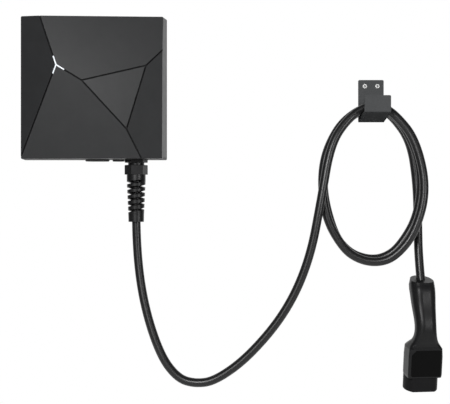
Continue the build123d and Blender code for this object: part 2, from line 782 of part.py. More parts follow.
# Residual current sensor: a ring that the cable's cores pass through
with BuildPart() as residual_current_sensor:
    with BuildSketch(level(SENSOR_Z - SENSOR_H / 2)):
        with Locations((GLAND_X, -GLAND_DEPTH)):
            Circle(SENSOR_R)
            Circle(SENSOR_BORE, mode=Mode.SUBTRACT)
    extrude(amount=SENSOR_H)
    fillet(residual_current_sensor.edges().filter_by(GeomType.CIRCLE), SENSOR_ROUND)

finish(residual_current_sensor.part, "residual_current_sensor")

# Closed rubber grommet in the rear supply entry
with BuildPart() as supply_grommet:
    with BuildSketch(wall(RUN_GAP)):
        with Locations((SUPPLY_X, SUPPLY_Z)):
            Circle(SUPPLY_R + GROMMET_FLANGE)
    extrude(amount=FLOOR_BACK - RUN_GAP)
    with BuildSketch(wall(FLOOR_BACK)):
        with Locations((SUPPLY_X, SUPPLY_Z)):
            Circle(SUPPLY_R - FIT_GAP)
    extrude(amount=FLOOR_T)
    with BuildSketch(wall(FLOOR)):
        with Locations((SUPPLY_X, SUPPLY_Z)):
            Circle(SUPPLY_R + GROMMET_FLANGE)
    extrude(amount=GROMMET_FLANGE_T)
    with BuildSketch(wall(FLOOR_BACK)):
        with Locations((SUPPLY_X, SUPPLY_Z)):
            Circle(SUPPLY_R - GROMMET_WALL)
    extrude(amount=PAST_FRONT, mode=Mode.SUBTRACT)

finish(supply_grommet.part, "supply_grommet")


def blanking_plug(x, depth, outline, stem):
    """A plug in the bottom wall: a low rounded head outside and a hollow stem."""
    centre = (x, -depth)
    with BuildPart() as plug:
        with BuildSketch(level(BODY_BOTTOM)):
            with Locations(centre):
                add(outline)
        extrude(amount=-PLUG_HEAD_T)
        fillet(plug.faces().sort_by(Axis.Z)[0].edges(), PLUG_HEAD_ROUND)
        with BuildSketch(level(BODY_BOTTOM)):
            with Locations(centre):
                add(stem)
        extrude(amount=2 * TRAY_WALL + PLUG_STEM_PAST)
    return plug.part


with BuildSketch() as oval_head:
    SlotOverall(PLUG_OVAL[2], PLUG_OVAL[3])
with BuildSketch() as oval_stem:
    stem_in = 2 * (PLUG_LEDGE + FIT_GAP)
    hollow_in = 2 * (PLUG_LEDGE + PLUG_WALL)
    SlotOverall(PLUG_OVAL[2] - stem_in, PLUG_OVAL[3] - stem_in)
    SlotOverall(PLUG_OVAL[2] - hollow_in, PLUG_OVAL[3] - hollow_in, mode=Mode.SUBTRACT)
with BuildSketch() as round_head:
    Circle(PLUG_ROUND[2])
with BuildSketch() as round_stem:
    Circle(PLUG_ROUND[2] - PLUG_LEDGE - FIT_GAP)
    Circle(PLUG_ROUND[2] - PLUG_LEDGE - PLUG_WALL, mode=Mode.SUBTRACT)

with BuildPart() as oval_plug:
    add(blanking_plug(PLUG_OVAL[0], PLUG_OVAL[1], oval_head.sketch, oval_stem.sketch))

finish(oval_plug.part, "oval_plug")

with BuildPart() as round_plug:
    add(blanking_plug(PLUG_ROUND[0], PLUG_ROUND[1], round_head.sketch, round_stem.sketch))

finish(round_plug.part, "round_plug")

# Cable gland: body through the wall, locknut inside, rubber insert, and outside the
# cap nut with its spiral bend relief in one piece
NECK_BOTTOM = BODY_BOTTOM - GLAND_HEX_T - NECK_L
CAP_HEX_BOTTOM = NECK_BOTTOM - CAP_HEX_L
CONE_BOTTOM = CAP_HEX_BOTTOM - CAP_CONE_L
SPIRAL_TOP = CONE_BOTTOM - COLLAR_L
SPIRAL_BOTTOM = RELIEF_BOTTOM + RELIEF_END_L
SLEEVE_BOTTOM = NECK_BOTTOM - SLEEVE_L
STEM_TOP = INNER_BOTTOM + STEM_L
GLAND = (GLAND_X, -GLAND_DEPTH)
CABLE_BORE_R = CABLE_R + FIT_GAP

with BuildPart() as gland_body:
    with BuildSketch(level(BODY_BOTTOM)):
        with Locations(GLAND):
            RegularPolygon(HEX_AF / 2, 6, major_radius=False, rotation=HEX_TURN)
    extrude(amount=-GLAND_HEX_T)
    chamfer(gland_body.faces().sort_by(Axis.Z)[0].edges(), HEX_CHAMFER)
    with BuildSketch(level(BODY_BOTTOM)):
        with Locations(GLAND):
            Circle(THREAD_R)
    extrude(amount=STEM_TOP - BODY_BOTTOM)
    with BuildSketch(level(BODY_BOTTOM)):
        with Locations(GLAND):
            Circle(NECK_R)
    extrude(amount=SLEEVE_BOTTOM - BODY_BOTTOM)
    with BuildSketch(level(SLEEVE_BOTTOM)):
        with Locations(GLAND):
            Circle(INSERT_R + FIT_GAP)
    extrude(amount=STEM_TOP - SLEEVE_BOTTOM, mode=Mode.SUBTRACT)

finish(gland_body.part, "gland_body")

with BuildPart() as gland_locknut:
    with BuildSketch(level(INNER_BOTTOM)):
        with Locations(GLAND):
            RegularPolygon(LOCKNUT_AF / 2, 6, major_radius=False)
            Circle(THREAD_R + FIT_GAP, mode=Mode.SUBTRACT)
    extrude(amount=LOCKNUT_T)

finish(gland_locknut.part, "gland_locknut")

with BuildPart() as gland_seal:
    with BuildSketch(level(SLEEVE_BOTTOM)):
        with Locations(GLAND):
            Circle(INSERT_R)
            Circle(CABLE_BORE_R, mode=Mode.SUBTRACT)
    extrude(amount=INSERT_L)

finish(gland_seal.part, "gland_seal")


def groove_turn(start_z, rise):
    """One turn, or less, of the groove that leaves the relief's spiral fin standing."""
    with BuildPart() as groove:
        base = Plane(origin=(GLAND_X, -GLAND_DEPTH, start_z))
        with BuildLine(base):
            Helix(pitch=SPIRAL_PITCH, height=rise, radius=SPIRAL_CORE_R + GROOVE_PATH)
        with BuildSketch(Plane(origin=base.origin, x_dir=(1, 0, 0), z_dir=(0, -1, 0))):
            with BuildLine():
                Polyline(
                    (SPIRAL_CORE_R, -GROOVE_ROOT_W / 2),
                    (SPIRAL_TIP_R + GROOVE_PAST, -GROOVE_MOUTH_W / 2),
                    (SPIRAL_TIP_R + GROOVE_PAST, GROOVE_MOUTH_W / 2),
                    (SPIRAL_CORE_R, GROOVE_ROOT_W / 2),
                    close=True,
                )
            make_face()
        sweep(is_frenet=True)
    return groove.part


with BuildPart() as gland_cap:
    with BuildSketch(Plane(origin=(GLAND_X, -GLAND_DEPTH, 0), x_dir=(1, 0, 0), z_dir=(0, -1, 0))):
        with BuildLine():
            Polyline(
                (0, NECK_BOTTOM - HEX_INSET),
                (HEX_AF / 2 - HEX_INSET, NECK_BOTTOM - HEX_INSET),
                (HEX_AF / 2 - HEX_INSET, CAP_HEX_BOTTOM),
                (COLLAR_R, CONE_BOTTOM),
                (COLLAR_R, SPIRAL_TOP),
                (SPIRAL_END_R, SPIRAL_BOTTOM),
                (RELIEF_END_R, RELIEF_BOTTOM),
                (0, RELIEF_BOTTOM),
                close=True,
            )
        make_face()
    revolve(axis=Axis((GLAND_X, -GLAND_DEPTH, 0), (0, 0, 1)))
    for turn in range(SPIRAL_TURNS):
        start_z = SPIRAL_BOTTOM + GROOVE_END_GAP + turn * SPIRAL_PITCH
        rise = min(SPIRAL_PITCH, SPIRAL_TOP - GROOVE_END_GAP - start_z)
        add(groove_turn(start_z, rise), mode=Mode.SUBTRACT)
    with BuildSketch(level(CAP_HEX_BOTTOM)):
        with Locations(GLAND):
            RegularPolygon(HEX_AF / 2, 6, major_radius=False, rotation=HEX_TURN)
    extrude(amount=CAP_HEX_L)
    chamfer(gland_cap.faces().sort_by(Axis.Z)[-1].edges(), HEX_CHAMFER)
    with BuildSketch(level(RELIEF_BOTTOM)):
        with Locations(GLAND):
            Circle(CABLE_BORE_R)
    extrude(amount=NECK_BOTTOM - RELIEF_BOTTOM, mode=Mode.SUBTRACT)
    with BuildSketch(level(SLEEVE_BOTTOM - RUN_GAP)):
        with Locations(GLAND):
            Circle(NECK_R + FIT_GAP)
    extrude(amount=NECK_BOTTOM - SLEEVE_BOTTOM + RUN_GAP, mode=Mode.SUBTRACT)

finish(gland_cap.part, "gland_cap")

# The cable's sheath inside the gland and the box
with BuildPart() as cable_sheath_end:
    with BuildSketch(level(CABLE_START)):
        with Locations(GLAND):
            Circle(CABLE_R)
    extrude(amount=SHEATH_TOP - CABLE_START)

finish(cable_sheath_end.part, "cable_sheath_end")

# Clamp: a saddle over the sheath with an ear and a screw at each side
with BuildPart() as cable_clamp:
    with BuildSketch(level(CLAMP_Z - CLAMP_H / 2)):
        with Locations((GLAND_X, -FLOOR - CLAMP_EAR_T / 2)):
            Rectangle(CLAMP_W, CLAMP_EAR_T)
        with Locations(GLAND):
            Circle(CABLE_BORE_R + CLAMP_WALL)
        with Locations((GLAND_X, -(FLOOR + GLAND_DEPTH) / 2)):
            Rectangle(2 * (CABLE_BORE_R + CLAMP_WALL), GLAND_DEPTH - FLOOR)
        with Locations(GLAND):
            Circle(CABLE_BORE_R, mode=Mode.SUBTRACT)
    extrude(amount=CLAMP_H)
    with BuildSketch(wall(FLOOR)):
        with Locations(*CLAMP_SCREWS):
            Circle(SCREW_R + HOLE_GAP)
    extrude(amount=CLAMP_EAR_T, mode=Mode.SUBTRACT)

finish(cable_clamp.part, "cable_clamp")

with BuildPart() as clamp_screws:
    for x, z in CLAMP_SCREWS:
        add(pan_screw(facing(x, z, FLOOR + CLAMP_EAR_T), CLAMP_EAR_T + CLAMP_SCREW_BITE))

finish(clamp_screws.part, "clamp_screws")

# Five cores fan out from the sheath's end, through the sensor, to the terminals
CORES = [("brown", 162), ("black", 234), ("grey", 90), ("blue", 306), ("earth", 18)]
ENTRY_Z = OUTPUT_Z - TERMINAL_H / 2

for (colour, angle), pole in zip(CORES, poles(GLAND_X)):
    start_x = GLAND_X + CORE_RING * cos(radians(angle))
    start_y = -GLAND_DEPTH + CORE_RING * sin(radians(angle))
    with BuildPart() as core:
        with BuildLine() as core_path:
            FilletPolyline(
                (start_x, start_y, SHEATH_TOP),
                (start_x, start_y, SENSOR_Z + SENSOR_H / 2 + SENSOR_TO_BEND),
                (pole, -ENTRY_DEPTH, ENTRY_Z - CORE_LEAD),
                (pole, -ENTRY_DEPTH, ENTRY_Z + WIRE_ENTRY_L - CORE_END_GAP),
                radius=CORE_BEND_R,
            )
        with BuildSketch(Plane(origin=(start_x, start_y, SHEATH_TOP))):
            Circle(CORE_R)
        sweep(path=core_path.wire())
    finish(core.part, f"core_{colour}")

# Cable hook: a strip bent twice, with a sloping shelf that keeps the coil in
SHELF_SLOPE = (LIP_BOTTOM - HOOK_BOTTOM) / HOOK_REACH
SHELF_RISE = HOOK_T * (1 + SHELF_SLOPE**2) ** 0.5


def shelf_top(depth):
    return HOOK_BOTTOM + SHELF_SLOPE * depth + SHELF_RISE


# Its two bends: depth, height and radius of each outer and inner corner
FOLDS = [
    (0, HOOK_BOTTOM, HOOK_BEND_R + HOOK_T),
    (HOOK_T, shelf_top(HOOK_T), HOOK_BEND_R),
    (HOOK_REACH, LIP_BOTTOM, HOOK_BEND_R + HOOK_T),
    (HOOK_REACH - HOOK_T, shelf_top(HOOK_REACH - HOOK_T), HOOK_BEND_R),
]

with BuildPart() as cable_hook:
    with BuildSketch(Plane.YZ.offset(HOOK_X - HOOK_W / 2)):
        with BuildLine():
            Polyline(
                (0, HOOK_TOP),
                (0, HOOK_BOTTOM),
                (-HOOK_REACH, LIP_BOTTOM),
                (-HOOK_REACH, LIP_TOP),
                (HOOK_T - HOOK_REACH, LIP_TOP),
                (HOOK_T - HOOK_REACH, shelf_top(HOOK_REACH - HOOK_T)),
                (-HOOK_T, shelf_top(HOOK_T)),
                (-HOOK_T, HOOK_TOP),
                close=True,
            )
        make_face()
    extrude(amount=HOOK_W)
    for depth, z, radius in FOLDS:
        across_strip = cable_hook.edges().filter_by(Axis.X)
        fillet(across_strip.sort_by_distance(at(HOOK_X, z, depth))[0], radius)
    ends = cable_hook.edges().filter_by(Axis.Y).filter_by(lambda e: abs(e.length - HOOK_T) < 0.01)
    fillet(ends, HOOK_CORNER_R)
    with BuildSketch(wall(0)):
        with Locations((HOOK_X, HOOK_SCREW_Z)):
            with GridLocations(HOOK_SCREW_SPACING, 1, 2, 1):
                Circle(HOOK_HOLE_R)
    extrude(amount=HOOK_T, mode=Mode.SUBTRACT)

finish(cable_hook.part, "cable_hook")

with BuildPart() as hook_screws:
    for side in (-1, 1):
        place = facing(HOOK_X + side * HOOK_SCREW_SPACING / 2, HOOK_SCREW_Z, HOOK_T)
        add(pan_screw(place, HOOK_SCREW_L, HOOK_HEAD_R, HOOK_HEAD_T, HOOK_SCREW_R))

finish(hook_screws.part, "hook_screws")

# Connector: its own frame has X across, Y towards the back and Z up
TURN = radians(CON_TURN)
CON = Plane(origin=at(CON_X, CON_Z, CON_DEPTH), x_dir=(cos(TURN), sin(TURN), 0), z_dir=(0, 0, 1))


def slope(height):
    """How steeply the connector's centreline runs forward at a height."""
    share = min(max((height - BEND_START) / (BEND_END - BEND_START), 0), 1)
    return (1 - share) * tan(radians(NOSE_LEAN)) - share * tan(radians(GRIP_LEAN))


def run_forward(start, end):
    """How far the centreline runs forward between two heights of steady change."""
    return (end - start) * (slope(start) + slope(end)) / 2


def forward(height):
    """How far the connector's bent centreline stands forward at a height."""
    below = run_forward(0, min(height, BEND_START))
    bend = run_forward(BEND_START, min(max(height, BEND_START), BEND_END))
    above = run_forward(BEND_END, max(height, BEND_END))
    return below + bend + above


def across(height, shift=0.0):
    """The plane square to the connector's centreline at a height, shifted forward."""
    lean = atan(slope(height))
    z_dir = CON.z_dir * cos(lean) - CON.y_dir * sin(lean)
    centre = CON.from_local_coords((0, -forward(height), height))
    return Plane(origin=centre - z_dir.cross(CON.x_dir) * shift, x_dir=CON.x_dir, z_dir=z_dir)


def section(height, half_width, front, corner, shift=0.0):
    """A section of the shell: round at the back, flat at the front with two corners."""
    with BuildSketch(across(height, shift)) as outline:
        with BuildLine():
            RadiusArc((half_width, 0), (-half_width, 0), -half_width)
            Line((-half_width, 0), (-half_width, corner - front))
            RadiusArc((-half_width, corner - front), (corner - half_width, -front), -corner)
            Line((corner - half_width, -front), (half_width - corner, -front))
            RadiusArc((half_width - corner, -front), (half_width, corner - front), -corner)
            Line((half_width, corner - front), (half_width, 0))
        make_face()
    return outline.sketch


def nose_shape(plane, smaller):
    """The nose's outline: a circle with a flat at the front, its two corners rounded."""
    with BuildSketch(plane) as shape:
        Circle(NOSE_R - smaller)
        with Locations((0, smaller - NOSE_FLAT - NOSE_R)):
            Rectangle(4 * NOSE_R, 2 * NOSE_R, mode=Mode.SUBTRACT)
        fillet(shape.vertices(), NOSE_CORNER)
    return shape.sketch


NOSE = across(0)
TAIL = across(TAIL_JOINT, GRIP_FORWARD)
PANEL_PLANE = Plane(
    origin=across(PANEL_MID).origin - across(PANEL_MID).y_dir * HEAD_FRONT,
    x_dir=CON.x_dir,
    z_dir=across(PANEL_MID).y_dir * -1,
)


def panel_shape(grow):
    with BuildSketch(PANEL_PLANE) as outline:
        RectangleRounded(PANEL_W + 2 * grow, PANEL_H + 2 * grow, PANEL_R + grow)
        with Locations((-PANEL_W / 2 - grow, PANEL_H / 2 + grow)):
            Rectangle(PANEL_CUT_SIDE, PANEL_CUT_SIDE, rotation=45, mode=Mode.SUBTRACT)
    return outline.sketch


with BuildPart() as connector_shell:
    for values in HEAD_SECTIONS:
        add(section(*values))
    loft(ruled=True)
    for values in GRIP_SECTIONS:
        add(section(*values))
    loft()
    extrude(nose_shape(NOSE, NOSE_STEP - FIT_GAP), NOSE_L + NOSE_ROOT + RUN_GAP, mode=Mode.SUBTRACT)
    extrude(panel_shape(FIT_GAP), PANEL_PROUD - PANEL_T, mode=Mode.SUBTRACT)
    with BuildSketch(TAIL):
        Circle(CABLE_BORE_R)
    extrude(amount=-CABLE_SOCKET_L, mode=Mode.SUBTRACT)

finish(connector_shell.part, "connector_shell")

with BuildPart() as connector_tail:
    for values in TAIL_SECTIONS:
        add(section(*values))
    loft(ruled=True)
    cut = radians(TAIL_CUT)
    cut_dir = TAIL.z_dir * cos(cut) - TAIL.y_dir * sin(cut)
    split(bisect_by=Plane(origin=TAIL.origin + TAIL.z_dir * TAIL_L, z_dir=cut_dir), keep=Keep.BOTTOM)
    with BuildSketch(TAIL):
        Circle(CABLE_BORE_R)
    extrude(amount=2 * TAIL_L, mode=Mode.SUBTRACT)

finish(connector_tail.part, "connector_tail")

with BuildPart() as connector_nose:
    extrude(nose_shape(NOSE, 0), NOSE_L)
    fillet(connector_nose.faces().sort_by(Axis(NOSE.origin, NOSE.z_dir))[0].edges(), NOSE_ROUND)
    extrude(nose_shape(NOSE.offset(NOSE_L), NOSE_STEP), NOSE_ROOT)
    with BuildSketch(NOSE):
        with Locations(*POWER_CONTACTS):
            Circle(CONTACT_R)
        with Locations(*SIGNAL_CONTACTS):
            Circle(SIGNAL_R)
    extrude(amount=CONTACT_SET_BACK + CONTACT_L, mode=Mode.SUBTRACT)

finish(connector_nose.part, "connector_nose")

with BuildPart() as power_contacts:
    with BuildSketch(NOSE.offset(CONTACT_SET_BACK)):
        with Locations(*POWER_CONTACTS):
            Circle(CONTACT_R - FIT_GAP)
    extrude(amount=CONTACT_L)
    with BuildSketch(NOSE.offset(CONTACT_SET_BACK)):
        with Locations(*POWER_CONTACTS):
            Circle(POWER_BORE_R)
    extrude(amount=CONTACT_L - CONTACT_ROOT_L, mode=Mode.SUBTRACT)

finish(power_contacts.part, "power_contacts")

with BuildPart() as signal_contacts:
    with BuildSketch(NOSE.offset(CONTACT_SET_BACK)):
        with Locations(*SIGNAL_CONTACTS):
            Circle(SIGNAL_R - FIT_GAP)
    extrude(amount=CONTACT_L)
    with BuildSketch(NOSE.offset(CONTACT_SET_BACK)):
        with Locations(*SIGNAL_CONTACTS):
            Circle(SIGNAL_BORE_R)
    extrude(amount=CONTACT_L - CONTACT_ROOT_L, mode=Mode.SUBTRACT)

finish(signal_contacts.part, "signal_contacts")

with BuildPart() as connector_panel:
    extrude(panel_shape(0), PANEL_PROUD)
    extrude(panel_shape(0), PANEL_PROUD - PANEL_T)

finish(connector_panel.part, "connector_panel")

# Charging cable: out of the gland, down, up over the hook, twice round, and down to
# the connector. Each point is a corner that the cable rounds off on its inside.
CABLE_END = tuple(TAIL.origin - TAIL.z_dir * CABLE_SOCKET_L)
CABLE_LEAD = tuple(TAIL.origin + TAIL.z_dir * CABLE_LEAD_L)
ROUTE = [
    (GLAND_X, -GLAND_DEPTH, CABLE_START),
    (GLAND_X, -GLAND_DEPTH, -266),
    (84, -33, -360),
    (112, -46, -443),
    (141, -51, -481),
    (170, -54, -490),
    (204, -57, -485),
    (259, -59, -445),
    (321, -60, -371),
    (359, -60, -286),
    (378, -59, -186),
    (394, -52, -96),
    (423, -44, -53),
    (454, -42, -32),
    (478, -42, -31),
    (503, -44, -47),
    (535, -49, -88),
    (552, -57, -170),
    (532, -58, -242),
    (501, -56, -280),
    (474, -53, -291),
    (443, -50, -287),
    (415, -46, -268),
    (384, -43, -212),
    (380, -39, -129),
    (406, -31, -68),
    (440, -27, -38),
    (470, -26, -30),
    (492, -27, -38),
    (521, -31, -65),
    (548, -39, -133),
    (541, -43, -213),
    (509, -41, -267),
    (482, -38, -285),
    (454, -36, -286),
    (425, -32, -274),
    (401, -29, -244),
    (381, -26, -163),
    (395, -21, -91),
    (428, -14, -49),
    (457, -11, -33),
    (482, -11, -33),
    (505, -12, -48),
    (533, -16, -90),
    (543, -18, -160),
    (544, -20, -228),
    CABLE_LEAD,
    CABLE_END,
]


def corner_radii(points):
    """Each corner's arc: a share of its shorter run over the tangent of half its turn."""
    radii = []
    for before, corner, after in zip(points, points[1:], points[2:]):
        run_in = Vector(*corner) - Vector(*before)
        run_out = Vector(*after) - Vector(*corner)
        half_turn = radians(run_in.get_angle(run_out)) / 2
        radii.append(CABLE_ROUNDING * min(run_in.length, run_out.length) / tan(half_turn))
    return radii


CABLE_RADII = corner_radii(ROUTE)
with BuildPart() as charging_cable:
    with BuildLine() as cable_path:
        FilletPolyline(*ROUTE, radius=CABLE_RADII)
    with BuildSketch(Plane(origin=ROUTE[0], z_dir=Vector(*ROUTE[1]) - Vector(*ROUTE[0]))):
        Circle(CABLE_R)
    sweep(path=cable_path.wire())

finish(charging_cable.part, "charging_cable")
cable_length = cable_path.wire().length
print("cable length", round(cable_length))
section_times_length = pi * CABLE_R**2 * cable_length
print("volume over section times length", charging_cable.part.volume / section_times_length)
print("corner radii", [round(r) for r in CABLE_RADII])
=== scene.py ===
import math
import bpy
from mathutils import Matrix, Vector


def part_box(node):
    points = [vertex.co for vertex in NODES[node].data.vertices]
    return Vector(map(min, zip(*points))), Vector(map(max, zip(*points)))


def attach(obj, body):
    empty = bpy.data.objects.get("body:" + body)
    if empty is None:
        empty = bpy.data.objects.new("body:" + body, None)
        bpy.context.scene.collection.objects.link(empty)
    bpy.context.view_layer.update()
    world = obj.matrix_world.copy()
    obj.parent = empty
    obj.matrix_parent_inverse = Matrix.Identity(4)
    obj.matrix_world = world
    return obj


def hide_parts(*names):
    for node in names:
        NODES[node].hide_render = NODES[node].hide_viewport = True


bl_info = {
    "name": "Wall charger with cable hook and connector",
    "version": (1, 0, 0),
    "blender": (4, 5, 0),
    "location": "3D View > Sidebar > Wall charger",
    "description": "Dresses the packed solids of a wall charger with its finishes, cable and stage",
    "category": "Object",
}

import bmesh
import bpy
from mathutils import Vector

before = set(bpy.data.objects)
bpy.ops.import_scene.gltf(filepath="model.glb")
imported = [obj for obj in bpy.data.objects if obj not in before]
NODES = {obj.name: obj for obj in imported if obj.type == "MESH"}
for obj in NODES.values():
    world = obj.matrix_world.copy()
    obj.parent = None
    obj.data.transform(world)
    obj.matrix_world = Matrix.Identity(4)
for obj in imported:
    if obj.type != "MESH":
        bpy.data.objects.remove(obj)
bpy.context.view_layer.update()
WALL_SIDE = "wall_side"

# The photograph's view: the camera's place in metres, its lens and its sensor
CAMERA_AT = (0.220, -1.700, -0.191)
LENS_MM = 80.0
SENSOR_MM = 36.0

# Lamps: name, place, aim, size in metres and power in watts
MIDDLE = (0.25, 0.0, -0.15)
CONNECTOR_SIDE = (0.45, 0.0, -0.3)
LAMPS = (
    ("key", (-0.4, -2.2, 0.55), MIDDLE, 0.5, 37.0),
    ("fill", (0.2, -2.2, 0.55), MIDDLE, 0.5, 5.5),
    ("low", (-0.6, -2.2, -0.5), MIDDLE, 0.5, 2.5),
    ("side", (1.5, -1.5, -0.1), CONNECTOR_SIDE, 0.45, 9.0),
)
WORLD_LIGHT = 0.1

# Stage: sizes and places in metres, and the share of plain white that the camera sees
FLOOR_SIZE = (8.0, 8.0)
FLOOR_WHITE = 0.6
BACKDROP_SIZE = (8.0, 5.0)
BACKDROP_WHITE = 1.0
BACKDROP_Y = 2.4
BACKDROP_Z = 1.2
STAGE_X = 0.2

# Route of the charging cable, from inside the gland to inside the connector, in metres
CABLE_ROUTE = [
    (0.0709, -0.021, -0.205),
    (0.0709, -0.021, -0.266),
    (0.084, -0.033, -0.360),
    (0.112, -0.046, -0.443),
    (0.141, -0.051, -0.481),
    (0.170, -0.054, -0.490),
    (0.204, -0.057, -0.485),
    (0.259, -0.059, -0.445),
    (0.321, -0.060, -0.371),
    (0.359, -0.060, -0.286),
    (0.378, -0.059, -0.186),
    (0.394, -0.052, -0.096),
    (0.423, -0.044, -0.053),
    (0.454, -0.042, -0.032),
    (0.478, -0.042, -0.031),
    (0.503, -0.044, -0.047),
    (0.535, -0.049, -0.088),
    (0.552, -0.057, -0.170),
    (0.532, -0.058, -0.242),
    (0.501, -0.056, -0.280),
    (0.474, -0.053, -0.291),
    (0.443, -0.050, -0.287),
    (0.415, -0.046, -0.268),
    (0.384, -0.043, -0.212),
    (0.380, -0.039, -0.129),
    (0.406, -0.031, -0.068),
    (0.440, -0.027, -0.038),
    (0.470, -0.026, -0.030),
    (0.492, -0.027, -0.038),
    (0.521, -0.031, -0.065),
    (0.548, -0.039, -0.133),
    (0.541, -0.043, -0.213),
    (0.509, -0.041, -0.267),
    (0.482, -0.038, -0.285),
    (0.454, -0.036, -0.286),
    (0.425, -0.032, -0.274),
    (0.401, -0.029, -0.244),
    (0.381, -0.026, -0.163),
    (0.395, -0.021, -0.091),
    (0.428, -0.014, -0.049),
    (0.457, -0.011, -0.033),
    (0.482, -0.011, -0.033),
    (0.505, -0.012, -0.048),
    (0.533, -0.016, -0.090),
    (0.543, -0.018, -0.160),
    (0.544, -0.020, -0.228),
    (0.5436, -0.0285, -0.2882),
    (0.5464, -0.0481, -0.3491),
]

# Hook screws: points round each ring, and lengths in metres
RING_STEPS = 40
HEAD_T = 0.0022
THREAD_PITCH = 0.0018
RECESS_DEPTH = 0.0015

# Hook screws: shares of the head's radius, and in the profile of its thickness too
HEAD_PROFILE = ((0.8, 0.0), (0.93, 0.12), (1.0, 0.4), (1.0, 1.0))
SHANK = 0.57
THREAD_ROOT = 0.72 * SHANK
POINT = 0.06 * SHANK
RECESS_MOUTH = (0.62, 0.17)
RECESS_FLOOR = (0.34, 0.12)

# Noise lies mostly between these values
NOISE_LOW = 0.3
NOISE_HIGH = 0.7

# Clouds, smudges and scratches on a surface: sizes in metres, and how much a cloud tints
CLOUD_SIZE = 0.03
CLOUD_TINT = 0.06
SMUDGE_SIZE = 0.012
BLOOM_SIZE = 0.003
SCRATCH_SIZE = 0.00025
SCRATCH_DEPTH = 0.000006

# Colours of the pieces inside the box and of the small parts
BLACK_NYLON = (0.012, 0.012, 0.0125)
BLACK_RUBBER = (0.02, 0.02, 0.021)
BOARD_MASK = (0.02, 0.16, 0.07)
BOARD_TRACES = (0.008, 0.07, 0.03)
RELAY_CASE = (0.012, 0.013, 0.02)
POTTED_CASE = (0.02, 0.02, 0.022)
CAPACITOR_SLEEVE = (0.01, 0.018, 0.06)
TIN = (0.62, 0.62, 0.6)
TERMINAL_GREY = (0.36, 0.37, 0.38)
CORE_COLOURS = {
    "core_brown": (0.13, 0.045, 0.018),
    "core_black": (0.012, 0.012, 0.013),
    "core_grey": (0.24, 0.24, 0.25),
    "core_blue": (0.012, 0.06, 0.3),
}
EARTH_GREEN = (0.03, 0.22, 0.04)
EARTH_YELLOW = (0.55, 0.47, 0.03)
ZINC = (0.72, 0.72, 0.71)
PALE_ZINC = (0.78, 0.78, 0.77)
SILVER = (0.85, 0.83, 0.78)
PANEL_BLACK = (0.0025, 0.0025, 0.0025)
PAPER_DARK = (0.78, 0.78, 0.78)
PAPER_LIGHT = (0.82, 0.82, 0.82)


class WallchargerFinishes(bpy.types.PropertyGroup):
    """Colours and surface values of the pieces."""

    cover_colour: bpy.props.FloatVectorProperty(
        name="Cover",
        description="Colour of the moulded front cover",
        default=(0.0205, 0.021, 0.022),
        subtype="COLOR",
        min=0.0,
        max=1.0,
    )
    housing_colour: bpy.props.FloatVectorProperty(
        name="Housing",
        description="Colour of the rear housing",
        default=(0.016, 0.0165, 0.017),
        subtype="COLOR",
        min=0.0,
        max=1.0,
    )
    gland_colour: bpy.props.FloatVectorProperty(
        name="Gland",
        description="Colour of the cable gland and its bend relief",
        default=(0.006, 0.006, 0.0065),
        subtype="COLOR",
        min=0.0,
        max=1.0,
    )
    cable_colour: bpy.props.FloatVectorProperty(
        name="Cable",
        description="Colour of the cable's sheath",
        default=(0.012, 0.012, 0.0125),
        subtype="COLOR",
        min=0.0,
        max=1.0,
    )
    hook_colour: bpy.props.FloatVectorProperty(
        name="Hook",
        description="Colour of the hook's powder coat",
        default=(0.072, 0.074, 0.076),
        subtype="COLOR",
        min=0.0,
        max=1.0,
    )
    shell_colour: bpy.props.FloatVectorProperty(
        name="Connector shell",
        description="Colour of the connector's moulded shell",
        default=(0.012, 0.012, 0.0125),
        subtype="COLOR",
        min=0.0,
        max=1.0,
    )
    light_colour: bpy.props.FloatVectorProperty(
        name="Light",
        description="Colour of the light guide's glow",
        default=(0.6, 0.63, 0.66),
        subtype="COLOR",
        min=0.0,
        max=1.0,
    )
    light_strength: bpy.props.FloatProperty(
        name="Light strength",
        description="How brightly the light guide glows",
        default=0.6,
        min=0.0,
        max=4.0,
    )
    cover_roughness: bpy.props.FloatProperty(
        name="Cover roughness",
        description="How dull the front cover is",
        default=0.38,
        min=0.0,
        max=1.0,
        subtype="FACTOR",
    )


class WallchargerSizes(bpy.types.PropertyGroup):
    """Sizes of the pieces that are made here."""

    cable_diameter: bpy.props.FloatProperty(
        name="Cable diameter",
        description="Outer diameter of the charging cable",
        default=0.0145,
        min=0.005,
        max=0.03,
        unit="LENGTH",
    )
    floor_drop: bpy.props.FloatProperty(
        name="Floor",
        description="How far the floor lies below the wall screws' centre",
        default=1.25,
        min=0.6,
        max=3.0,
        unit="LENGTH",
    )


def finishes():
    return bpy.context.scene.wallcharger_finishes


def sizes():
    return bpy.context.scene.wallcharger_sizes


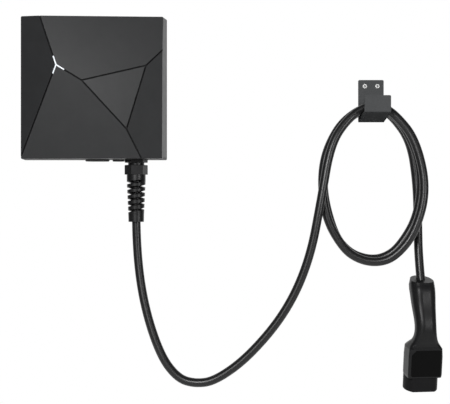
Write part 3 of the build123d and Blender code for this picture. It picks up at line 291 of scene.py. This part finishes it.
class Recipe:
    """A material under construction, with short calls to add and join its nodes."""

    def __init__(self, name):
        self.material = bpy.data.materials.new(name)
        self.material.use_nodes = True
        self.tree = self.material.node_tree
        self.shader = self.tree.nodes["Principled BSDF"]
        self.place = self.add("ShaderNodeTexCoord")

    def add(self, kind, **values):
        node = self.tree.nodes.new(kind)
        for key, value in values.items():
            setattr(node, key, value)
        return node

    def join(self, source, target):
        self.tree.links.new(source, target)

    def noise(self, size, detail=3.0, roughness=0.55):
        """Noise whose grains are about size metres across."""
        node = self.add("ShaderNodeTexNoise")
        node.inputs["Scale"].default_value = 1.0 / size
        node.inputs["Detail"].default_value = detail
        node.inputs["Roughness"].default_value = roughness
        self.join(self.place.outputs["Object"], node.inputs["Vector"])
        return node.outputs["Fac"]

    def spread(self, value, low, high, start=NOISE_LOW, end=NOISE_HIGH):
        """A value from start to end, stretched to run from low to high."""
        node = self.add("ShaderNodeMapRange")
        node.inputs["From Min"].default_value = start
        node.inputs["From Max"].default_value = end
        node.inputs["To Min"].default_value = low
        node.inputs["To Max"].default_value = high
        self.join(value, node.inputs["Value"])
        return node.outputs["Result"]

    def tint(self, value, dark, light):
        """A colour between two, by noise."""
        node = self.add("ShaderNodeValToRGB")
        first, last = node.color_ramp.elements
        first.position = NOISE_LOW
        first.color = (*dark, 1.0)
        last.position = NOISE_HIGH
        last.color = (*light, 1.0)
        self.join(value, node.inputs["Fac"])
        return node.outputs["Color"]

    def painted_shade_mask(self, reach):
        """Ambient occlusion, for painted shade: near 0 in grooves and inner corners, 1 where the
        surface lies open.
        """
        node = self.add("ShaderNodeAmbientOcclusion", samples=8, only_local=True)
        node.inputs["Distance"].default_value = reach
        return self.spread(node.outputs["AO"], 0.0, 1.0, start=0.45, end=0.95)

    def blend(self, value, low, high):
        """From one colour or value to another, where either may be a socket."""
        kind = "RGBA" if isinstance(high, bpy.types.NodeSocketColor) else "FLOAT"
        node = self.add("ShaderNodeMix", data_type=kind)
        ends = {
            "RGBA": ("A_Color", "B_Color", "Result_Color"),
            "FLOAT": ("A_Float", "B_Float", "Result_Float"),
        }
        first, second, result = ends[kind]
        sockets = {socket.identifier: socket for socket in node.inputs}
        self.join(value, sockets["Factor_Float"])
        sockets[first].default_value = low
        self.join(high, sockets[second])
        return next(socket for socket in node.outputs if socket.identifier == result)

    def raise_by(self, value, height):
        """Bump of a height in metres."""
        node = self.add("ShaderNodeBump")
        node.inputs["Distance"].default_value = height
        self.join(value, node.inputs["Height"])
        self.join(node.outputs["Normal"], self.shader.inputs["Normal"])


def moulded(name, colour, roughness, grain=0.0006, height=0.00003, shine=0.35, shade_reach=0.0):
    """Moulded plastic: spark-eroded grain, slightly uneven colour and dullness.

    Grain and height are the bumps' width and depth in metres. Hollows narrower than the
    reach given, in metres, get painted shade, a darker colour, and are duller than the rest.
    """
    recipe = Recipe(name)
    clouds = recipe.noise(CLOUD_SIZE, detail=4.0)
    dark = [c * (1 - CLOUD_TINT) for c in colour]
    light = [c * (1 + CLOUD_TINT) for c in colour]
    tone = recipe.tint(clouds, dark, light)
    smudges = recipe.noise(SMUDGE_SIZE, detail=5.0)
    dullness = recipe.spread(smudges, roughness - 0.02, min(roughness + 0.03, 1.0))
    if shade_reach:
        unshaded_share = recipe.painted_shade_mask(shade_reach)
        # Painted shade: hollows are darkened to 0.3 of the colour.
        tone = recipe.blend(unshaded_share, [c * 0.3 for c in colour] + [1.0], tone)
        dullness = recipe.blend(unshaded_share, 1.0, dullness)
    recipe.join(tone, recipe.shader.inputs["Base Color"])
    recipe.join(dullness, recipe.shader.inputs["Roughness"])
    recipe.raise_by(recipe.noise(grain, detail=2.0), height)
    recipe.shader.inputs["Specular IOR Level"].default_value = shine
    return recipe.material


def plated(name, colour, roughness, metallic=1.0, shade_reach=0.0):
    """Plated metal: a clear reflection with fine scratches and a dull bloom.

    Hollows narrower than the reach given, in metres, are painted dark, as painted shade.
    """
    recipe = Recipe(name)
    recipe.shader.inputs["Metallic"].default_value = metallic
    bloom = recipe.noise(BLOOM_SIZE, detail=4.0)
    dark = [c * 0.8 for c in colour]
    tone = recipe.tint(bloom, dark, colour)
    if shade_reach:
        # Painted shade: hollows are darkened almost to black.
        tone = recipe.blend(recipe.painted_shade_mask(shade_reach), [c * 0.02 for c in colour] + [1.0], tone)
    recipe.join(tone, recipe.shader.inputs["Base Color"])
    scratches = recipe.noise(SCRATCH_SIZE, detail=2.0)
    dullness = recipe.spread(scratches, roughness * 0.7, roughness * 1.4)
    recipe.join(dullness, recipe.shader.inputs["Roughness"])
    recipe.raise_by(scratches, SCRATCH_DEPTH)
    return recipe.material


def dress(material, *names):
    """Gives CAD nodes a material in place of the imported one."""
    for name in names:
        piece = NODES[name]
        piece.data.materials.clear()
        piece.data.materials.append(material)


def add_piece(name, data, material, body):
    piece = bpy.data.objects.new(name, data)
    bpy.context.scene.collection.objects.link(piece)
    data.materials.append(material)
    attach(piece, body)
    return piece


def turned_ring(mesh, front, radius, depth):
    """A ring of points round a screw's axis, which runs along Y."""
    angles = [math.tau * n / RING_STEPS for n in range(RING_STEPS)]
    places = [(radius * math.cos(angle), depth, radius * math.sin(angle)) for angle in angles]
    return [mesh.verts.new(front + Vector(place)) for place in places]


def crossed_ring(mesh, front, arm, depth):
    """The twelve corners of a cross. An arm is its reach and half its width."""
    reach, half = arm
    quarter = [(half, half), (reach, half), (reach, -half)]
    places = []
    for _ in range(4):
        places += quarter
        quarter = [(z, -x) for x, z in quarter]
    return [mesh.verts.new(front + Vector((x, depth, z))) for x, z in places]


def join_rings(mesh, near, far):
    """Closes the band between two rings of as many points."""
    for n in range(len(near)):
        mesh.faces.new((near[n - 1], near[n], far[n], far[n - 1]))


def ring_edges(mesh, ring):
    return [mesh.edges.get((ring[n - 1], ring[n])) for n in range(len(ring))]


class WALLCHARGER_OT_camera(bpy.types.Operator):
    """Sets the camera in front of the wall, where the photograph was taken from"""

    bl_idname = "wallcharger.camera"
    bl_label = "Camera"

    def execute(self, context):
        data = bpy.data.cameras.new("camera")
        data.lens = LENS_MM
        data.sensor_width = SENSOR_MM
        data.clip_end = 20.0
        camera = bpy.data.objects.new("camera", data)
        camera.location = CAMERA_AT
        camera.rotation_euler = (math.radians(90), 0, 0)
        context.scene.collection.objects.link(camera)
        context.scene.camera = camera
        return {"FINISHED"}


class WALLCHARGER_OT_cable(bpy.types.Operator):
    """Lays the charging cable from the gland, twice round over the hook, to the connector"""

    bl_idname = "wallcharger.cable"
    bl_label = "Charging cable"

    def execute(self, context):
        curve = bpy.data.curves.new("cable", "CURVE")
        curve.dimensions = "3D"
        curve.bevel_depth = sizes().cable_diameter / 2
        curve.bevel_resolution = 8
        curve.resolution_u = 14
        spline = curve.splines.new("NURBS")
        spline.points.add(len(CABLE_ROUTE) - 1)
        for point, place in zip(spline.points, CABLE_ROUTE):
            point.co = (*place, 1.0)
        spline.order_u = 3
        spline.use_endpoint_u = True
        colour = finishes().cable_colour
        sheath = moulded("cable_sheath", colour, 0.32, grain=0.002, height=0.000002)
        cable = add_piece("cable", curve, sheath, WALL_SIDE)
        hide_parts("charging_cable")
        dress(sheath, "cable_sheath_end")
        return {"FINISHED"}


class WALLCHARGER_OT_cover(bpy.types.Operator):
    """Gives the faceted front cover its fine-grained plastic, with painted shade in its grooves"""

    bl_idname = "wallcharger.cover"
    bl_label = "Front cover"

    def execute(self, context):
        colour = finishes().cover_colour
        roughness = finishes().cover_roughness
        # The cover's grooves get painted shade in their colour.
        dress(moulded("cover_plastic", colour, roughness, shine=0.2, shade_reach=0.004), "front_cover")
        return {"FINISHED"}


class WALLCHARGER_OT_light(bpy.types.Operator):
    """Makes the three-armed light guide glow"""

    bl_idname = "wallcharger.light"
    bl_label = "Light guide"

    def execute(self, context):
        look = finishes()
        recipe = Recipe("light_guide_glow")
        cloud = recipe.noise(0.004, detail=2.0)
        dim = [c * 0.9 for c in look.light_colour]
        recipe.join(recipe.tint(cloud, dim, look.light_colour), recipe.shader.inputs["Base Color"])
        recipe.shader.inputs["Roughness"].default_value = 0.3
        recipe.shader.inputs["Emission Color"].default_value = (*look.light_colour, 1.0)
        recipe.shader.inputs["Emission Strength"].default_value = look.light_strength
        dress(recipe.material, "light_guide")
        return {"FINISHED"}


class WALLCHARGER_OT_housing(bpy.types.Operator):
    """Finishes the rear housing, its plugs and the cable clamp"""

    bl_idname = "wallcharger.housing"
    bl_label = "Housing and plugs"

    def execute(self, context):
        dress(moulded("housing_plastic", finishes().housing_colour, 0.5), "rear_housing")
        plugs = moulded("plug_plastic", BLACK_NYLON, 0.42)
        dress(plugs, "oval_plug", "round_plug", "cable_clamp")
        return {"FINISHED"}


class WALLCHARGER_OT_gland(bpy.types.Operator):
    """Finishes the gland's body, locknut and cap with its spiral bend relief"""

    bl_idname = "wallcharger.gland"
    bl_label = "Cable gland"

    def execute(self, context):
        colour = finishes().gland_colour
        nylon = moulded("gland_nylon", colour, 0.36, grain=0.0004, height=0.00001)
        dress(nylon, "gland_body", "gland_cap", "gland_locknut")
        return {"FINISHED"}


class WALLCHARGER_OT_seals(bpy.types.Operator):
    """Finishes the rubber seal, peg sockets, gland insert and supply grommet"""

    bl_idname = "wallcharger.seals"
    bl_label = "Seals"

    def execute(self, context):
        rubber = moulded("seal_rubber", BLACK_RUBBER, 0.8, grain=0.0003, height=0.00002)
        dress(rubber, "housing_seal", "cover_sockets", "gland_seal", "supply_grommet")
        return {"FINISHED"}


class WALLCHARGER_OT_electronics(bpy.types.Operator):
    """Finishes the boards and the components that stand on them"""

    bl_idname = "wallcharger.electronics"
    bl_label = "Electronics"

    def execute(self, context):
        recipe = Recipe("circuit_board")
        traces = recipe.add("ShaderNodeTexVoronoi", feature="DISTANCE_TO_EDGE")
        traces.inputs["Scale"].default_value = 260.0
        recipe.join(recipe.place.outputs["Object"], traces.inputs["Vector"])
        mask = recipe.tint(traces.outputs["Distance"], BOARD_MASK, BOARD_TRACES)
        recipe.join(mask, recipe.shader.inputs["Base Color"])
        recipe.shader.inputs["Roughness"].default_value = 0.3
        recipe.raise_by(traces.outputs["Distance"], 0.00003)
        dress(recipe.material, "main_board", "led_board")
        case = moulded("relay_case", RELAY_CASE, 0.28, grain=0.0003, height=0.00001)
        dress(case, "relays")
        dress(moulded("potted_case", POTTED_CASE, 0.4), "power_module", "residual_current_sensor")
        dress(moulded("capacitor_sleeve", CAPACITOR_SLEEVE, 0.3), "capacitors")
        dress(plated("tinned_can", TIN, 0.3), "radio_module")
        return {"FINISHED"}


class WALLCHARGER_OT_wiring(bpy.types.Operator):
    """Finishes the terminal blocks and the cable's cores"""

    bl_idname = "wallcharger.wiring"
    bl_label = "Terminals and wiring"

    def execute(self, context):
        blocks = moulded("terminal_plastic", TERMINAL_GREY, 0.45)
        dress(blocks, "input_terminals", "output_terminals")
        for name, colour in CORE_COLOURS.items():
            dress(moulded(name, colour, 0.35), name)
        dress(self.striped(EARTH_GREEN, EARTH_YELLOW), "core_earth")
        return {"FINISHED"}

    def striped(self, green, yellow):
        """Two-coloured insulation: broad bands that slant round the earth core."""
        recipe = Recipe("core_earth")
        bands = recipe.add("ShaderNodeTexWave", bands_direction="DIAGONAL")
        bands.inputs["Scale"].default_value = 60.0
        bands.inputs["Distortion"].default_value = 0.4
        recipe.join(recipe.place.outputs["Object"], bands.inputs["Vector"])
        stripes = recipe.tint(bands.outputs["Fac"], green, yellow)
        recipe.join(stripes, recipe.shader.inputs["Base Color"])
        recipe.shader.inputs["Roughness"].default_value = 0.35
        return recipe.material


class WALLCHARGER_OT_screws(bpy.types.Operator):
    """Finishes the screws inside the box in bright zinc"""

    bl_idname = "wallcharger.screws"
    bl_label = "Screws"

    def execute(self, context):
        zinc = plated("zinc_plate", ZINC, 0.3)
        dress(zinc, "board_screws", "led_board_screws", "terminal_screws", "clamp_screws")
        return {"FINISHED"}


class WALLCHARGER_OT_hook(bpy.types.Operator):
    """Finishes the bent cable hook in satin powder coat and puts its two screws in place"""

    bl_idname = "wallcharger.hook"
    bl_label = "Cable hook"

    def execute(self, context):
        colour = finishes().hook_colour
        coat = moulded("hook_coat", colour, 0.7, grain=0.0009, height=0.00001, shine=0.0)
        dress(coat, "cable_hook")
        # The screws' crossed recesses get painted shade, almost black.
        zinc = plated("hook_screw_zinc", PALE_ZINC, 0.45, metallic=0.25, shade_reach=0.003)
        screws = add_piece("hook_screw_pair", self.screws(), zinc, WALL_SIDE)
        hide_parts("hook_screws")
        return {"FINISHED"}

    def screws(self):
        """Two pan-head wood screws with a crossed recess, where the CAD screws stand."""
        low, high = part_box("hook_screws")
        radius = (high.z - low.z) / 2
        mesh = bmesh.new()
        for x in (low.x + radius, high.x - radius):
            self.screw(mesh, Vector((x, low.y, (low.z + high.z) / 2)), radius, high.y - low.y)
        bmesh.ops.recalc_face_normals(mesh, faces=mesh.faces)
        data = bpy.data.meshes.new("hook_screw_pair")
        mesh.to_mesh(data)
        mesh.free()
        return data

    def screw(self, mesh, front, radius, length):
        """One screw along Y: head, threaded shank and point, with its recess in front."""
        profile = [(share * radius, depth * HEAD_T) for share, depth in HEAD_PROFILE]
        profile.append((SHANK * radius, HEAD_T))
        start = HEAD_T + 2 * THREAD_PITCH
        while start < length - 3 * THREAD_PITCH:
            crest = start + THREAD_PITCH / 2
            profile += [(THREAD_ROOT * radius, start), (SHANK * radius, crest)]
            start += THREAD_PITCH
        profile += [(THREAD_ROOT * radius, start), (POINT * radius, length)]
        rings = [turned_ring(mesh, front, *point) for point in profile]
        for near, far in zip(rings, rings[1:]):
            join_rings(mesh, near, far)
        mesh.faces.new(rings[-1])
        mouth = crossed_ring(mesh, front, [radius * share for share in RECESS_MOUTH], 0.0)
        floor = crossed_ring(mesh, front, [radius * share for share in RECESS_FLOOR], RECESS_DEPTH)
        join_rings(mesh, mouth, floor)
        mesh.faces.new(floor)
        rims = [edge for ring in (rings[0], mouth) for edge in ring_edges(mesh, ring)]
        bmesh.ops.triangle_fill(mesh, edges=rims, use_beauty=True)


class WALLCHARGER_OT_connector(bpy.types.Operator):
    """Finishes the connector's shell, tail, nose, gloss panel and contacts"""

    bl_idname = "wallcharger.connector"
    bl_label = "Connector"

    def execute(self, context):
        colour = finishes().shell_colour
        shell = moulded("connector_shell", colour, 0.33, grain=0.0005, height=0.00001, shine=0.15)
        dress(shell, "connector_shell", "connector_tail")
        dress(moulded("connector_nose", BLACK_NYLON, 0.45, shine=0.05), "connector_nose")
        gloss = moulded("connector_panel", PANEL_BLACK, 0.1, height=0.0, shine=0.06)
        dress(gloss, "connector_panel")
        contact = plated("silvered_contact", SILVER, 0.2)
        dress(contact, "power_contacts", "signal_contacts")
        return {"FINISHED"}


class WALLCHARGER_OT_stage(bpy.types.Operator):
    """Sets the pale floor and backdrop, the soft lamps and the white surroundings"""

    bl_idname = "wallcharger.stage"
    bl_label = "Stage"

    def execute(self, context):
        scene = context.scene
        scene.view_settings.view_transform = "Standard"
        floor = self.sheet("floor", FLOOR_SIZE, self.paper("floor_paper", FLOOR_WHITE))
        floor.location = (STAGE_X, 0.0, -sizes().floor_drop)
        backdrop = self.sheet("backdrop", BACKDROP_SIZE, self.paper("backdrop_paper", BACKDROP_WHITE))
        backdrop.rotation_euler = (math.radians(90), 0, 0)
        backdrop.location = (STAGE_X, BACKDROP_Y, BACKDROP_Z)
        for values in LAMPS:
            self.lamp(*values)
        self.surroundings(scene)
        return {"FINISHED"}

    def paper(self, name, share):
        """White paper. A share of what the camera sees is plain white, the rest keeps shadows."""
        recipe = Recipe(name)
        fibre = recipe.noise(0.05, detail=4.0)
        white = recipe.tint(fibre, PAPER_DARK, PAPER_LIGHT)
        recipe.join(white, recipe.shader.inputs["Base Color"])
        recipe.shader.inputs["Roughness"].default_value = 0.9
        path = recipe.add("ShaderNodeLightPath")
        shown = recipe.add("ShaderNodeMath", operation="MULTIPLY")
        shown.inputs[1].default_value = share
        recipe.join(path.outputs["Is Camera Ray"], shown.inputs[0])
        mirrored = recipe.add("ShaderNodeMath", operation="MAXIMUM")
        recipe.join(path.outputs["Is Glossy Ray"], mirrored.inputs[0])
        recipe.join(path.outputs["Is Transmission Ray"], mirrored.inputs[1])
        seen = recipe.add("ShaderNodeMath", operation="MAXIMUM")
        recipe.join(shown.outputs["Value"], seen.inputs[0])
        recipe.join(mirrored.outputs["Value"], seen.inputs[1])
        glow = recipe.add("ShaderNodeEmission")
        glow.inputs["Strength"].default_value = 1.0
        mix = recipe.add("ShaderNodeMixShader")
        recipe.join(seen.outputs["Value"], mix.inputs["Fac"])
        recipe.join(recipe.shader.outputs["BSDF"], mix.inputs[1])
        recipe.join(glow.outputs["Emission"], mix.inputs[2])
        out = recipe.tree.nodes["Material Output"]
        recipe.join(mix.outputs["Shader"], out.inputs["Surface"])
        return recipe.material

    def sheet(self, name, size, material):
        mesh = bpy.data.meshes.new(name)
        grid = bmesh.new()
        bmesh.ops.create_grid(grid, x_segments=1, y_segments=1, size=0.5)
        bmesh.ops.scale(grid, vec=(*size, 1.0), verts=grid.verts)
        grid.to_mesh(mesh)
        grid.free()
        mesh.materials.append(material)
        sheet = bpy.data.objects.new(name, mesh)
        bpy.context.scene.collection.objects.link(sheet)
        return sheet

    def lamp(self, name, place, aim, size, watts):
        data = bpy.data.lights.new(name, "AREA")
        data.shape = "SQUARE"
        data.size = size
        data.energy = watts
        lamp = bpy.data.objects.new(name, data)
        lamp.location = place
        lamp.rotation_euler = (Vector(aim) - Vector(place)).to_track_quat("-Z", "Y").to_euler()
        bpy.context.scene.collection.objects.link(lamp)

    def surroundings(self, scene):
        world = bpy.data.worlds.new("surroundings")
        world.use_nodes = True
        scene.world = world
        sky = world.node_tree.nodes["Background"]
        sky.inputs["Color"].default_value = (1.0, 1.0, 1.0, 1.0)
        path = world.node_tree.nodes.new("ShaderNodeLightPath")
        seen = world.node_tree.nodes.new("ShaderNodeMapRange")
        seen.inputs["To Min"].default_value = WORLD_LIGHT
        seen.inputs["To Max"].default_value = 1.0
        world.node_tree.links.new(path.outputs["Is Camera Ray"], seen.inputs["Value"])
        world.node_tree.links.new(seen.outputs["Result"], sky.inputs["Strength"])


STEPS = (
    WALLCHARGER_OT_camera,
    WALLCHARGER_OT_cable,
    WALLCHARGER_OT_cover,
    WALLCHARGER_OT_light,
    WALLCHARGER_OT_housing,
    WALLCHARGER_OT_gland,
    WALLCHARGER_OT_seals,
    WALLCHARGER_OT_electronics,
    WALLCHARGER_OT_wiring,
    WALLCHARGER_OT_screws,
    WALLCHARGER_OT_hook,
    WALLCHARGER_OT_connector,
    WALLCHARGER_OT_stage,
)


class WALLCHARGER_PT_panel(bpy.types.Panel):
    """Lists the finishes and the steps that dress the wall charger"""

    bl_idname = "WALLCHARGER_PT_panel"
    bl_label = "Wall charger"
    bl_space_type = "VIEW_3D"
    bl_region_type = "UI"
    bl_category = "Wall charger"

    def draw(self, context):
        layout = self.layout
        for group in (context.scene.wallcharger_finishes, context.scene.wallcharger_sizes):
            for name in group.__annotations__:
                layout.prop(group, name)
        for step in STEPS:
            layout.operator(step.bl_idname)


CLASSES = (WallchargerFinishes, WallchargerSizes, *STEPS, WALLCHARGER_PT_panel)


def register():
    for item in CLASSES:
        bpy.utils.register_class(item)
    bpy.types.Scene.wallcharger_finishes = bpy.props.PointerProperty(type=WallchargerFinishes)
    bpy.types.Scene.wallcharger_sizes = bpy.props.PointerProperty(type=WallchargerSizes)


def unregister():
    del bpy.types.Scene.wallcharger_sizes
    del bpy.types.Scene.wallcharger_finishes
    for item in reversed(CLASSES):
        bpy.utils.unregister_class(item)


def main():
    register()
    for step in STEPS:
        group, name = step.bl_idname.split(".")
        getattr(getattr(bpy.ops, group), name)()


if __name__ == "__main__":
    main()
